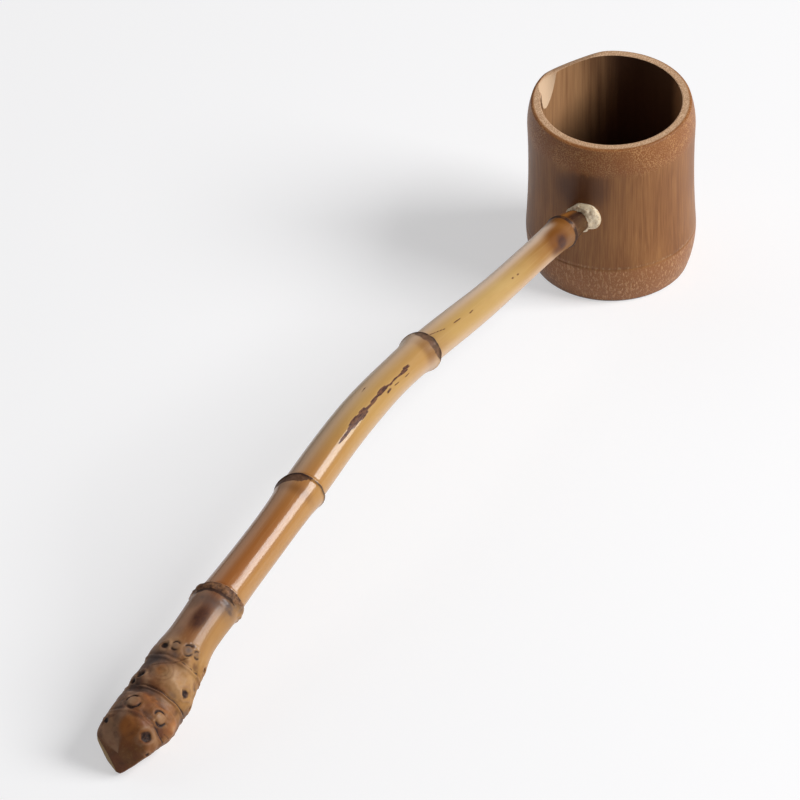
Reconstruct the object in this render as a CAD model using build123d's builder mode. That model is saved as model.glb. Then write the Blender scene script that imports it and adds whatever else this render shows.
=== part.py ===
from build123d import *
from math import atan, cos, radians, sin
import os

# A water dipper of bamboo. The cup is a length of thick stem whose own node closes its bottom. The handle
# is a length of root stock whose thin end is glued through the cup's wall. The cup stands on its base with
# its axis along Z, and the handle runs along X until its root knob rests on the same surface.
# All lengths are in millimetres and all angles in degrees.

# Overall sizes
overall_length = 380.0
cup_diameter = 60.5
cup_height = 70.0

# Cup wall, floor and rim
bore_diameter = 50.4
floor_thickness = 12.0
floor_corner_radius = 7.0
foot_diameter = 54.6
node_height = 15.5
node_line_width = 0.9
node_line_depth = 0.25
waist_diameter = 59.0
shoulder_diameter = 59.8
shoulder_length = 12.5
shoulder_crown = 0.6
rim_diameter = 56.2
rim_tilt_angle = 2.8
rim_low_angle = 20.0

# Pouring lip: a wide shallow scoop that falls outwards, and a gouge down the inside at its near end
scoop_angle = -116.0
scoop_diameter = 200.0
scoop_drop = 1.7
scoop_slope_angle = 22.0
gouge_angle = -84.0
gouge_diameter = 17.0
gouge_depth = 11.0
gouge_width = 2.4

# Joint between the cup and the handle
joint_height = 35.7
joint_side = 2.9
joint_climb_angle = 9.5
tenon_diameter = 9.0
tenon_proud = 0.9
neck_length = 10.6
joint_hole_diameter = 12.0
hole_offset_side = 0.95
hole_offset_up = 0.95
bead_diameter = 13.4
bead_offset_side = 2.1
bead_offset_up = 1.9
bead_rise = 0.8
inner_bead_rise = 0.5

# Handle
handle_diameter = 14.8
knob_diameter = 23.4
arch_height = 49.6
tip_height = 8.3
scar_width = 1.2
scar_rise = 0.4
collar_length = 6.5
root_collar_length = 4.4

# Root stubs and pits on the knob
stub_diameter = 5.0
stub_rise = 0.5
stub_gap = 0.55
stub_gap_depth = 1.1
pit_diameter = 3.2
pit_depth = 1.5
pit_slope_angle = 12.0

# The end of the knob is trimmed by three flat cuts that meet near the tip.
tip_apex_height = 0.4
tip_apex_width = 1.4
tip_front_height = 6.5

# How far a cut runs past what it cuts
cut_overrun = 5.0

# Directions that the three cuts at the tip face, as shares of a unit length along X, Y and Z
front_cut_shares = (0.82, 0.35, 0.45)
left_cut_shares = (0.88, -0.44, -0.19)
under_cut_shares = (0.16, 0.72, -0.67)

# Centre line of the handle from its first node to the tip. A row holds the share of that reach, and the
# height as a share of the arch, or of the knob's radius where the knob comes down to rest.
arch_line_shares = [
    (0.050, 0.788),
    (0.170, 0.845),
    (0.320, 0.970),
    (0.400, 1.000),
    (0.485, 0.965),
    (0.590, 0.822),
    (0.690, 0.686),
    (0.785, 0.577),
    (0.865, 0.425),
]
knob_line_shares = [(0.930, 1.030), (0.965, 0.890)]

# Each internode starts in a collar at its sheath scar and narrows away from it. A row holds where it starts
# and ends along the centre line, the collar's thickness, and the thicknesses evenly spaced from the collar
# to the end, all as shares. In the first table the thicknesses are shares of the handle's, and in the
# second, which makes the knob, of the knob's.
smooth_internode_shares = [
    (0.000, 0.311, 0.80, (0.750, 0.735, 0.745, 0.765, 0.795, 0.825, 0.840, 0.850)),
    (0.311, 0.575, 0.98, (0.890, 0.880, 0.900, 0.940, 0.965, 0.980, 1.000, 1.005)),
    (0.575, 0.757, 1.11, (1.040, 1.005, 1.005, 1.020, 1.050, 1.110)),
    (0.757, 0.869, 1.19, (1.190, 1.170, 1.165, 1.175, 1.250, 1.355, 1.410)),
]
root_internode_shares = [
    (0.869, 0.915, 0.880, (0.930, 0.945, 0.980, 0.970, 0.940)),
    (0.915, 0.955, 0.935, (0.975, 1.000, 1.000, 0.985)),
    (0.955, 1.000, 0.950, (0.950, 0.910, 0.840, 0.720)),
]

# How much of the narrowing is done by the middle of the collar
collar_ease_share = 0.75

# A sheath scar is a low lip with a shallow groove after it: distance in scar widths, rise in scar rises.
scar_shares = [(0.0, 0.0), (0.5, 1.0), (1.1, 0.3), (1.7, -0.5), (2.4, 0.0)]

# Root stubs and pits: place along the centre line as a share, and the angle round it, where 0 faces the
# side of the dipper away from the lip and 90 faces up.
root_stub_shares = [(0.942, 98.0), (0.943, 40.0), (0.941, 208.0), (0.944, 330.0), (0.854, 59.0)]
root_pit_shares = [
    (0.898, 25.0),
    (0.900, 119.0),
    (0.902, 146.0),
    (0.904, -12.0),
    (0.901, 203.0),
    (0.898, 262.0),
    (0.976, 39.0),
    (0.977, 131.0),
    (0.976, 215.0),
    (0.859, 103.0),
    (0.857, 83.0),
    (0.854, 30.0),
    (0.858, -2.0),
    (0.857, 160.0),
    (0.859, 222.0),
    (0.856, 285.0),
]

# Worked out from the sizes above
cup_radius = cup_diameter / 2
bore_radius = bore_diameter / 2
rim_radius = rim_diameter / 2
shoulder_radius = shoulder_diameter / 2
waist_radius = waist_diameter / 2
knob_radius = knob_diameter / 2
shoulder_height = cup_height - shoulder_length
tip_reach = overall_length - cup_radius


def side_vector(angle):
    """The level direction of unit length that faces this angle round the cup, where 0 faces the handle."""
    return Vector(cos(radians(angle)), sin(radians(angle)), 0)


def reach_at(radius, side):
    """The X at which a circle of this radius round the cup's axis is this far to the side."""
    return (radius**2 - side**2) ** 0.5


# The tenon's line climbs a little from the joint in the wall to the handle's first node.
tenon_direction = Vector(cos(radians(joint_climb_angle)), 0, sin(radians(joint_climb_angle)))
joint_point = Vector(reach_at(waist_radius, joint_side), joint_side, joint_height)
first_node = joint_point + tenon_direction * neck_length
wall_run = (joint_point.X - reach_at(bore_radius, joint_side)) / tenon_direction.X
hole_centre = joint_point + Vector(0, hole_offset_side, hole_offset_up)
bead_centre = joint_point + Vector(0, bead_offset_side, bead_offset_up)


def plane_across(centre, set_back):
    """A plane square to the tenon, set back from a point on the wall towards the inside of the cup."""
    return Plane(origin=centre - tenon_direction * set_back, x_dir=(0, 1, 0), z_dir=tenon_direction)


# Cup: the outline of the wall and floor, turned round the cup's axis
with BuildPart() as cup:
    with BuildSketch(Plane.XZ):
        with BuildLine():
            foot_edge = (foot_diameter / 2, 0)
            node_edge = (cup_radius, node_height)
            wall_start = (cup_radius, node_height + node_line_width)
            wall_end = (shoulder_radius, shoulder_height)
            rim_edge = (rim_radius, cup_height)
            corner_top = (bore_radius, floor_thickness + floor_corner_radius)
            corner_end = (bore_radius - floor_corner_radius, floor_thickness)
            corner_inset = floor_corner_radius * (1 - sin(radians(45)))
            Line((0, 0), foot_edge)
            TangentArc(node_edge, foot_edge, tangent=(0, -1))
            Polyline(node_edge, (cup_radius - node_line_depth, node_height + node_line_width / 2), wall_start)
            ThreePointArc(wall_start, (waist_radius, (wall_start[1] + shoulder_height) / 2), wall_end)
            shoulder_middle = (shoulder_radius + rim_radius) / 2 + shoulder_crown
            ThreePointArc(wall_end, (shoulder_middle, (shoulder_height + cup_height) / 2), rim_edge)
            Polyline(rim_edge, (bore_radius, cup_height), corner_top)
            ThreePointArc(corner_top, (bore_radius - corner_inset, floor_thickness + corner_inset), corner_end)
            Polyline(corner_end, (0, floor_thickness), (0, 0))
        make_face()
    revolve(axis=Axis.Z)

    # The rim was sawn a little off square, so it is highest opposite its low side.
    low_side = side_vector(rim_low_angle)
    rim_normal = low_side * sin(radians(rim_tilt_angle)) + Vector(0, 0, cos(radians(rim_tilt_angle)))
    rim_plane = Plane(origin=Vector(0, 0, cup_height) - low_side * rim_radius, z_dir=rim_normal)
    split(bisect_by=rim_plane, keep=Keep.BOTTOM)

    # The scoop falls outwards across the top of the wall, and drops the rim's outer edge a little.
    scoop_side = side_vector(scoop_angle)
    scoop_slope = radians(scoop_slope_angle)
    scoop_line = scoop_side * cos(scoop_slope) + Vector(0, 0, -sin(scoop_slope))
    scoop_rise = (scoop_side * sin(scoop_slope) + Vector(0, 0, cos(scoop_slope))) * (scoop_diameter / 2)
    scoop_edge = scoop_side * rim_radius + Vector(0, 0, cup_height - scoop_drop)
    scoop_run = rim_radius - bore_radius + cut_overrun
    with BuildSketch(Plane(origin=scoop_edge + scoop_rise - scoop_line * scoop_run, z_dir=scoop_line)):
        Circle(scoop_diameter / 2)
    extrude(amount=scoop_run + cut_overrun, mode=Mode.SUBTRACT)

    # The gouge leans outwards, so its cut is wide at the rim and runs out to a point down the bore.
    gouge_side = side_vector(gouge_angle)
    gouge_lean = atan(gouge_width / gouge_depth)
    gouge_line = gouge_side * sin(gouge_lean) + Vector(0, 0, cos(gouge_lean))
    gouge_reach = bore_radius + gouge_width - gouge_diameter / 2
    gouge_centre = gouge_side * gouge_reach + Vector(0, 0, cup_height)
    with BuildSketch(Plane(origin=gouge_centre + gouge_line * cut_overrun, z_dir=-gouge_line)):
        Circle(gouge_diameter / 2)
    extrude(amount=cut_overrun + gouge_depth + gouge_width, mode=Mode.SUBTRACT)

    # Hole for the tenon, through the one side of the wall
    with BuildSketch(plane_across(hole_centre, joint_point.X)):
        Circle(joint_hole_diameter / 2)
    extrude(amount=joint_point.X + cut_overrun, mode=Mode.SUBTRACT)

cup.part.label = "cup"

# Centre line of the handle, drifting sideways in plan from the joint to the tip
with BuildLine() as handle_line:
    tip_run = tip_reach - first_node.X
    heights = [(share, arch_height * height_share) for share, height_share in arch_line_shares]
    heights += [(share, knob_radius * height_share) for share, height_share in knob_line_shares]
    heights += [(1, tip_height)]
    points = [Vector(first_node.X + tip_run * share, joint_side * (1 - share), height) for share, height in heights]
    Spline(first_node, *points, tangents=[tenon_direction, (points[-1] - points[-2]).normalized()])
centre_line = handle_line.edge()


def section_plane(place):
    """A plane square to the handle's centre line, its own X to the side and its own Y upwards."""
    return Plane(origin=centre_line @ place, x_dir=(0, 1, 0), z_dir=centre_line % place)


def internode_stages(row, thickness, collar_run):
    """One internode as three runs of places and radii: the scar's lip and groove, the collar, the body."""
    start, end, collar_share, body_shares = row
    collar_radius = thickness * collar_share / 2
    scar = [
        (start + scar_width * width_share / centre_line.length, collar_radius + scar_rise * rise_share)
        for width_share, rise_share in scar_shares
    ]
    body_start = start + collar_run / centre_line.length
    step = (end - body_start) / (len(body_shares) - 1)
    body = [(body_start + step * count, thickness * share / 2) for count, share in enumerate(body_shares)]
    ease_place = (scar[-1][0] + body[0][0]) / 2
    ease_radius = scar[-1][1] + (body[0][1] - scar[-1][1]) * collar_ease_share
    return scar, [scar[-1], (ease_place, ease_radius), body[0]], body


def knob_radius_at(place):
    """The radius at a place on the knob or just before it, in a straight run between two sections."""
    sections = [section for run in runs for section in run]
    before = max(section for section in sections if section[0] <= place)
    after = min(section for section in sections if section[0] > place)
    part = (place - before[0]) / (after[0] - before[0])
    return before[1] + (after[1] - before[1]) * part


def root_seat(place, angle):
    """A plane that touches the knob at a place and angle, facing out."""
    across = section_plane(place)
    outwards = across.x_dir * cos(radians(angle)) + across.y_dir * sin(radians(angle))
    return Plane(origin=across.origin + outwards * knob_radius_at(place), z_dir=outwards)


# Handle: the tenon and neck, then one internode after another, each stepping up to the next collar
runs = []
for row in smooth_internode_shares:
    runs += internode_stages(row, handle_diameter, collar_length)
for row in root_internode_shares:
    runs += internode_stages(row, knob_diameter, root_collar_length)

with BuildPart() as handle:
    with BuildSketch(plane_across(joint_point, wall_run + tenon_proud)):
        Circle(tenon_diameter / 2)
    extrude(amount=wall_run + tenon_proud + neck_length)
    for run in runs:
        for place, radius in run:
            with BuildSketch(section_plane(place)):
                Circle(radius)
        loft()

    # Each root stub stands in its own round groove.
    stub_planes = [root_seat(place, angle).offset(-stub_gap_depth) for place, angle in root_stub_shares]
    with BuildSketch(*stub_planes):
        Circle(stub_diameter / 2 + stub_gap)
    extrude(amount=stub_gap_depth + cut_overrun, mode=Mode.SUBTRACT)
    with BuildSketch(*stub_planes):
        Circle(stub_diameter / 2)
    extrude(amount=stub_gap_depth + stub_rise)

    # Pits where a root has rotted out of its groove
    with BuildSketch(*[root_seat(place, angle).offset(-pit_depth) for place, angle in root_pit_shares]):
        Circle(pit_diameter / 2)
    extrude(amount=pit_depth + stub_gap, taper=-pit_slope_angle, mode=Mode.SUBTRACT)

    # The tip is trimmed by three cuts, and the underside is worn flat where it rests.
    apex = Vector(tip_reach, 0, tip_apex_height)
    apex_side = apex + Vector(0, tip_apex_width, 0)
    front = Vector(tip_reach, 0, tip_front_height)
    split(bisect_by=Plane(origin=front, z_dir=front_cut_shares), keep=Keep.BOTTOM)
    split(bisect_by=Plane(origin=apex, z_dir=left_cut_shares), keep=Keep.BOTTOM)
    split(bisect_by=Plane(origin=apex_side, z_dir=under_cut_shares), keep=Keep.BOTTOM)
    split(bisect_by=Plane.XY, keep=Keep.TOP)

handle.part.label = "handle"

# Filler: a plug in the hole round the tenon, with a wide bead outside and a thin one inside
with BuildPart() as joint_filler:
    with BuildSketch(plane_across(hole_centre, wall_run + cut_overrun)):
        Circle(joint_hole_diameter / 2)
    extrude(amount=wall_run + 2 * cut_overrun)
    with BuildSketch(plane_across(bead_centre, wall_run / 2)):
        Circle(bead_diameter / 2)
    extrude(amount=wall_run)
    with BuildSketch(Plane.XY):
        Circle(waist_radius + bead_rise)
        Circle(bore_radius - inner_bead_rise, mode=Mode.SUBTRACT)
    extrude(amount=cup_height, mode=Mode.INTERSECT)
    add(cup.part, mode=Mode.SUBTRACT)
    add(handle.part, mode=Mode.SUBTRACT)

joint_filler.part.label = "joint_filler"

os.makedirs("parts", exist_ok=True)
export_step(cup.part, "parts/cup.step")
export_step(handle.part, "parts/handle.step")
export_step(joint_filler.part, "parts/joint_filler.step")

for name, piece in (("cup", cup), ("handle", handle), ("joint filler", joint_filler)):
    box = piece.part.bounding_box()
    print(name, "volume", round(piece.part.volume), "from", box.min, "to", box.max)
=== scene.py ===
"""A bamboo water dipper: the smoked cup, the lacquered root handle and the putty of their joint."""
from math import cos, pi, radians, sin, tan

import bpy
import numpy as np
from mathutils import Matrix, Vector


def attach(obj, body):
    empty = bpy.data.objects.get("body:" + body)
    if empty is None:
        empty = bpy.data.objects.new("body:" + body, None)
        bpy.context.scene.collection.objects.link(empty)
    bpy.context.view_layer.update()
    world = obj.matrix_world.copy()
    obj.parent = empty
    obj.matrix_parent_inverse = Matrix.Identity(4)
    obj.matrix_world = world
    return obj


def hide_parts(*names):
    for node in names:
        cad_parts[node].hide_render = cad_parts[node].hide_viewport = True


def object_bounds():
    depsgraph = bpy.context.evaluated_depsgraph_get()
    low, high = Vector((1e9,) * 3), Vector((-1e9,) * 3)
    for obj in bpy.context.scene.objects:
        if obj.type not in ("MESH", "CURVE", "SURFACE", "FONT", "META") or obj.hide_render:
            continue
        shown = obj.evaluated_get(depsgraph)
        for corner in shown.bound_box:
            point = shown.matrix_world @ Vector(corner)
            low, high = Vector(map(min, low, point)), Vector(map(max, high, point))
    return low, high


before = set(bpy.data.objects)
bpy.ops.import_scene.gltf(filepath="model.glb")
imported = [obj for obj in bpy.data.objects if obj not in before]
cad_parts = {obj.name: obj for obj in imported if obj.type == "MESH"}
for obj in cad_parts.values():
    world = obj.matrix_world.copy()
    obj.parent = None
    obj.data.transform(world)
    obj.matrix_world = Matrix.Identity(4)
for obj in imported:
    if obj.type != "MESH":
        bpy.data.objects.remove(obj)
solids_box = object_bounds()

bl_info = {
    "name": "Bamboo Dipper",
    "version": (1, 0, 0),
    "blender": (4, 5, 0),
    "location": "View3D > Sidebar > Dipper",
    "description": "Makes a bamboo water dipper with a root handle, and the stage it stands on",
    "category": "Add Mesh",
}

# Shapes are worked out in millimetres, and the settings and meshes are in metres.
MM = 0.001
CUP_COLUMNS = 448
HANDLE_COLUMNS = 192
BEAD_COLUMNS = 144

# The cup's width at the joint, and the joint itself: how far it sits off the cup's middle plane, its height
# on the wall, how steeply the handle leaves it, and the length from the wall to the first node
CUP_WAIST = 59.0
JOINT_SIDE = 2.9
JOINT_HEIGHT = 35.7
JOINT_CLIMB = radians(9.5)
NECK_LENGTH = 10.6

# A reach that limits nothing, and the least that a ring's point reaches out, in millimetres
FAR_REACH = 1e3
LEAST_REACH = 0.02

# The handle's line after its first node: share of the run, and height as a share of the arch
ARCH_LINE_SHARES = (
    (0.050, 0.788),
    (0.170, 0.845),
    (0.320, 0.970),
    (0.400, 1.000),
    (0.485, 0.965),
    (0.590, 0.822),
    (0.690, 0.686),
    (0.785, 0.577),
    (0.865, 0.425),
)
# The same where the knob comes down to rest, as shares of the knob's radius
KNOB_LINE_SHARES = ((0.930, 1.030), (0.965, 0.890))

# Internodes: start and end along the line, the collar's thickness, and thicknesses evenly spaced after it.
# The first table's thicknesses are shares of the handle's, and the second's of the knob's.
SMOOTH_INTERNODE_SHARES = (
    (0.000, 0.311, 0.80, (0.750, 0.735, 0.745, 0.765, 0.795, 0.825, 0.840, 0.850)),
    (0.311, 0.575, 0.98, (0.890, 0.880, 0.900, 0.940, 0.965, 0.980, 1.000, 1.005)),
    (0.575, 0.761, 1.11, (1.040, 1.005, 1.005, 1.020, 1.050, 1.110)),
    (0.761, 0.869, 1.19, (1.190, 1.170, 1.165, 1.175, 1.250, 1.355, 1.410)),
)
ROOT_INTERNODE_SHARES = (
    (0.869, 0.915, 0.880, (0.930, 0.945, 0.980, 0.970, 0.940)),
    (0.915, 0.962, 0.935, (0.975, 1.000, 1.000, 0.985)),
    (0.962, 1.000, 0.950, (0.950, 0.910, 0.840, 0.720)),
)

# How far each node's line runs on towards the tip at the side away from the viewer, in millimetres
NODE_SLANTS = (0.8, 5.5, 10.0, 7.0, 1.5, -1.5, 2.0)
NODE_SLANT_FROM = radians(30)

# Dark bands at the nodes: node, start past its line and width in millimetres, degrees round and half spread
NODE_BANDS = (
    (0, 0.0, 1.8, 60, 200),
    (1, 0.5, 0.7, 85, 150),
    (1, 0.6, 2.9, 55, 60),
    (2, 0.4, 0.8, 70, 170),
    (2, 0.4, 3.7, 112, 52),
    (3, 0.1, 0.7, 60, 200),
    (3, 0.3, 3.5, 82, 78),
    # A painted shadow line under the ridge of the fourth node (node 3)
    (3, 3.7, 1.1, 85, 66),
    (4, -0.4, 0.7, 35, 30),
    (5, -0.4, 0.8, 40, 70),
    (6, -0.4, 0.8, 12, 30),
)
# Soft spots of the skin by their tone: millimetres along the line from the wall, degrees round it, half
# length, half width and strength
SKIN_SPOTS = {
    "amber": (
        (21.5, 36, 6.0, 5.0, 1.00),
        (13.0, 90, 3.0, 9.0, 0.50),
        (115.5, 45, 2.5, 6.0, 0.35),
        (200.0, 70, 3.0, 9.0, 0.40),
        (308.4, 7, 3.0, 2.6, 0.80),
        (306.0, 60, 2.5, 6.0, 0.60),
        (291.0, 84, 2.6, 2.2, 0.80),
        # An orange-tan patch on the dome: its own tone with a painted highlight
        (319.8, 82, 2.6, 3.2, 0.90),
        (321.5, 55, 3.5, 4.0, 0.45),
        (299.5, 120, 5.0, 6.0, 0.30),
        (300.0, 270, 6.0, 9.0, 0.50),
    ),
    "stain": (
        (20.4, 21, 3.1, 3.2, 1.05),
        (24.5, 8, 4.5, 2.2, 0.55),
        (257.2, 44, 1.2, 2.6, 0.80),
        (258.6, 24, 1.0, 1.8, 0.70),
        (267.5, 76, 6.5, 3.4, 0.95),
        (275.0, 100, 4.0, 4.0, 0.40),
        (263.0, 110, 4.0, 5.0, 0.45),
        (282.2, 109, 1.6, 1.8, 0.75),
        (278.2, 53, 0.7, 1.6, 0.85),
        (298.8, 122, 3.0, 4.0, 0.75),
        (302.8, 96, 1.6, 4.0, 0.70),
        (315.9, 77, 1.3, 3.6, 0.80),
        (314.5, 110, 2.0, 3.0, 0.60),
        (297.5, 134, 2.5, 3.0, 0.70),
        (315.0, 88, 2.2, 5.0, 0.45),
        (301.0, 180, 7.0, 7.0, 0.60),
        (318.0, 280, 7.0, 8.0, 0.55),
    ),
    "grey": (
        (15.0, 5, 4.5, 2.6, 0.35),
        (259.8, 78, 3.0, 9.0, 0.85),
        (255.2, 24, 1.3, 2.4, 0.80),
        (253.1, 12, 1.8, 2.6, 0.80),
        (257.8, 35, 2.6, 4.6, 1.00),
        (287.2, 110, 2.8, 7.5, 1.10),
        (284.2, 80, 1.5, 2.6, 0.70),
        (280.6, 58, 1.7, 1.7, 1.00),
        (281.0, 86, 1.3, 1.3, 0.70),
        (280.2, 37, 1.0, 1.0, 0.70),
        (301.8, 84, 2.2, 4.0, 0.75),
        (300.6, -12, 4.5, 2.6, 0.85),
        (305.5, 128, 5.0, 5.0, 0.60),
        (298.0, 46, 1.0, 2.0, 0.50),
        (313.5, 118, 2.6, 2.6, 0.60),
        (290.0, 200, 6.0, 7.0, 0.55),
        (310.0, 235, 6.0, 6.0, 0.55),
    ),
    # Pale spots, mostly wear; the spots at 286.6 mm, 45 degrees and 308.6 mm, 8 degrees are painted
    # highlights
    "worn": (
        (280.8, 86, 2.0, 5.0, 0.60),
        (292.0, 62, 4.2, 4.6, 0.90),
        (286.6, 45, 2.6, 2.2, 0.70),
        (294.5, 44, 3.5, 3.2, 0.75),
        (289.0, 24, 3.0, 3.0, 0.60),
        (303.6, 46, 2.2, 3.6, 0.30),
        (310.9, 39, 2.2, 2.2, 0.50),
        (311.2, 97, 2.2, 2.2, 0.45),
        (317.2, 19, 1.6, 3.0, 0.40),
        (308.6, 8, 1.2, 1.0, 0.80),
        (283.4, 51, 1.1, 1.2, 0.80),
        (292.0, 185, 4.0, 6.0, 0.60),
        (306.0, 305, 5.0, 7.0, 0.60),
        (254.6, 40, 0.9, 1.3, 0.90),
        (253.6, 82, 1.2, 6.0, 0.55),
    ),
}

# Marks on the knob: millimetres along the line from the wall, degrees round it and radius, and a pit's depth
ROOT_DISCS = (
    (311.2, 97, 2.9),
    (310.9, 39, 2.7),
    (280.6, 58, 1.9),
    (280.2, 37, 1.3),
    (281.0, 86, 1.6),
    (308.5, 205, 2.5),
    (309.5, 330, 2.5),
    (295.5, 250, 2.4),
)
ROOT_PITS = (
    (319.3, 35, 2.1, 1.0),
    (322.5, 4, 0.8, 0.5),
    (294.3, 22, 2.1, 0.7),
    (295.0, 124, 1.8, 0.9),
    (297.9, 134, 1.4, 0.9),
    (296.2, -15, 1.3, 1.1),
    (319.3, 137, 1.3, 0.6),
    (281.5, -8, 1.1, 0.8),
    (282.2, 109, 1.5, 0.4),
    (295.5, 203, 1.5, 1.2),
    (294.5, 290, 1.6, 1.3),
    (320.0, 215, 1.5, 1.2),
    (282.0, 165, 1.3, 0.9),
    (282.3, 225, 1.3, 0.9),
    (281.5, 292, 1.4, 0.9),
)
# Swollen places: place, angle, half length, half width and height in millimetres
KNOB_LUMPS = (
    (292.0, 66, 5.0, 6.0, 0.6),
    (287.0, 44, 2.4, 2.4, 0.5),
    (308.4, 5, 3.4, 3.2, 1.1),
    (283.4, 51, 1.2, 1.4, 0.7),
    (316.5, 70, 3.5, 6.0, 0.4),
    (303.0, 160, 5.0, 5.0, 0.5),
    (292.0, 235, 5.0, 6.0, 0.6),
    (310.0, 265, 4.0, 5.0, 0.5),
    (254.6, 40, 1.2, 1.5, 0.6),
    (253.1, 12, 1.5, 1.8, 0.5),
    (255.0, 92, 1.5, 10.0, 0.45),
    (258.4, 60, 1.2, 4.0, 0.25),
    (289.0, 124, 3.0, 4.0, -0.4),
    (302.4, 118, 3.0, 5.0, -0.5),
    (304.0, 70, 1.6, 4.0, -0.35),
    (314.0, 64, 1.6, 3.0, -0.5),
    (314.0, 20, 1.6, 3.0, -0.4),
)
# Rotted streak in the second internode: millimetres along the line, degrees round it, half width
STREAK_PATH = (
    (127.0, 48, 0.15),
    (128.6, 48, 0.75),
    (131.3, 46, 0.60),
    (134.0, 47, 0.28),
    (138.0, 48, 0.35),
    (141.0, 49, 0.55),
    (146.3, 53, 1.00),
    (150.0, 52, 0.45),
    (154.2, 50, 0.55),
    (157.6, 52, 1.35),
    (160.5, 52, 1.30),
    (163.2, 54, 1.10),
    (167.5, 53, 0.75),
    (170.5, 54, 0.55),
    (175.0, 55, 0.08),
)
# Fine cracks and specks in the skin: start and end along the line and round it, and half width
SKIN_CRACKS = (
    (108.7, 79, 100.6, 61, 0.12),
    (95.3, 57, 90.6, 56, 0.15),
    (52.2, 48.5, 53.6, 47.5, 0.24),
    (48.8, 46, 50.0, 44.5, 0.24),
    (63.6, 21, 64.6, 18, 0.15),
    (82.2, 51.5, 83.6, 50, 0.22),
    (84.5, 14.5, 85.1, 13.5, 0.22),
    (103.2, 53.5, 103.7, 52.5, 0.20),
    (141.0, 37.5, 143.2, 36, 0.35),
    (136.0, 33, 139.0, 35, 0.12),
    (147.3, 99, 149.8, 97, 0.18),
    (129.0, 30, 132.0, 29, 0.14),
    (283.1, 52, 287.0, 71, 0.24),
    (287.0, 71, 290.5, 109, 0.26),
    (313.4, 14, 311.6, -4, 0.26),
    (316.0, 92, 315.6, 66, 0.30),
    (320.4, 150, 317.6, 120, 0.55),
    (313.6, 70, 315.4, 58, 0.35),
    (315.4, 58, 314.6, 40, 0.30),
)


class CupSettings(bpy.types.PropertyGroup):
    """Sizes and colours of the cup."""

    foot_diameter: bpy.props.FloatProperty(
        name="Foot", description="Width of the sawn base", default=54.6 * MM, unit="LENGTH"
    )
    node_height: bpy.props.FloatProperty(
        name="Node height", description="Height of the line round the node", default=15.5 * MM, unit="LENGTH"
    )
    waist_diameter: bpy.props.FloatProperty(
        name="Waist", description="Width at the middle of the wall", default=CUP_WAIST * MM, unit="LENGTH"
    )
    shoulder_diameter: bpy.props.FloatProperty(
        name="Shoulder", description="Width where the planed band starts", default=59.8 * MM, unit="LENGTH"
    )
    shoulder_length: bpy.props.FloatProperty(
        name="Band", description="Height of the planed band under the rim", default=12.5 * MM, unit="LENGTH"
    )
    rim_diameter: bpy.props.FloatProperty(
        name="Rim", description="Width of the rim's outer edge", default=56.2 * MM, unit="LENGTH"
    )
    bore_diameter: bpy.props.FloatProperty(
        name="Bore", description="Width of the hollow", default=50.4 * MM, unit="LENGTH"
    )
    floor_thickness: bpy.props.FloatProperty(
        name="Floor", description="Thickness of the node that closes the cup", default=12 * MM, unit="LENGTH"
    )
    wall_colour: bpy.props.FloatVectorProperty(
        name="Wall", description="Smoked skin of the stem", default=(0.375, 0.165, 0.053), subtype="COLOR"
    )
    wall_shade: bpy.props.FloatVectorProperty(
        name="Wall fibres",
        description="Dark fibres in the skin",
        default=(0.205, 0.074, 0.020),
        subtype="COLOR",
    )
    band_colour: bpy.props.FloatVectorProperty(
        name="Planed band",
        description="Planed band under the rim",
        default=(0.270, 0.096, 0.026),
        subtype="COLOR",
    )
    cut_colour: bpy.props.FloatVectorProperty(
        name="Cut wood", description="Sawn rim and gouged lip", default=(0.760, 0.510, 0.320), subtype="COLOR"
    )


class HandleSettings(bpy.types.PropertyGroup):
    """Sizes and colours of the handle."""

    handle_diameter: bpy.props.FloatProperty(
        name="Handle", description="Thickness of the smooth internodes", default=14.8 * MM, unit="LENGTH"
    )
    knob_diameter: bpy.props.FloatProperty(
        name="Knob", description="Thickness of the root knob", default=23.4 * MM, unit="LENGTH"
    )
    arch_height: bpy.props.FloatProperty(
        name="Arch", description="Highest point of the handle's line", default=49.6 * MM, unit="LENGTH"
    )
    tip_height: bpy.props.FloatProperty(
        name="Tip", description="Height of the line at the tip", default=8.3 * MM, unit="LENGTH"
    )
    tenon_diameter: bpy.props.FloatProperty(
        name="Tenon", description="Thickness where it enters the cup", default=9.0 * MM, unit="LENGTH"
    )
    straw_colour: bpy.props.FloatVectorProperty(
        name="Straw", description="Internode next to the cup", default=(0.525, 0.340, 0.125), subtype="COLOR"
    )
    amber_colour: bpy.props.FloatVectorProperty(
        name="Amber", description="Internodes in the middle", default=(0.355, 0.125, 0.026), subtype="COLOR"
    )
    root_colour: bpy.props.FloatVectorProperty(
        name="Root", description="Root knob", default=(0.180, 0.064, 0.020), subtype="COLOR"
    )


class FillerSettings(bpy.types.PropertyGroup):
    """Sizes and colour of the putty in the joint."""

    bead_diameter: bpy.props.FloatProperty(
        name="Bead", description="Width of the bead on the wall", default=12.7 * MM, unit="LENGTH"
    )
    bead_rise: bpy.props.FloatProperty(
        name="Rise", description="Height of the bead, before its bumps", default=1.215 * MM, unit="LENGTH"
    )
    putty_colour: bpy.props.FloatVectorProperty(
        name="Putty", description="Dried putty", default=(0.980, 0.810, 0.560), subtype="COLOR"
    )


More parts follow.
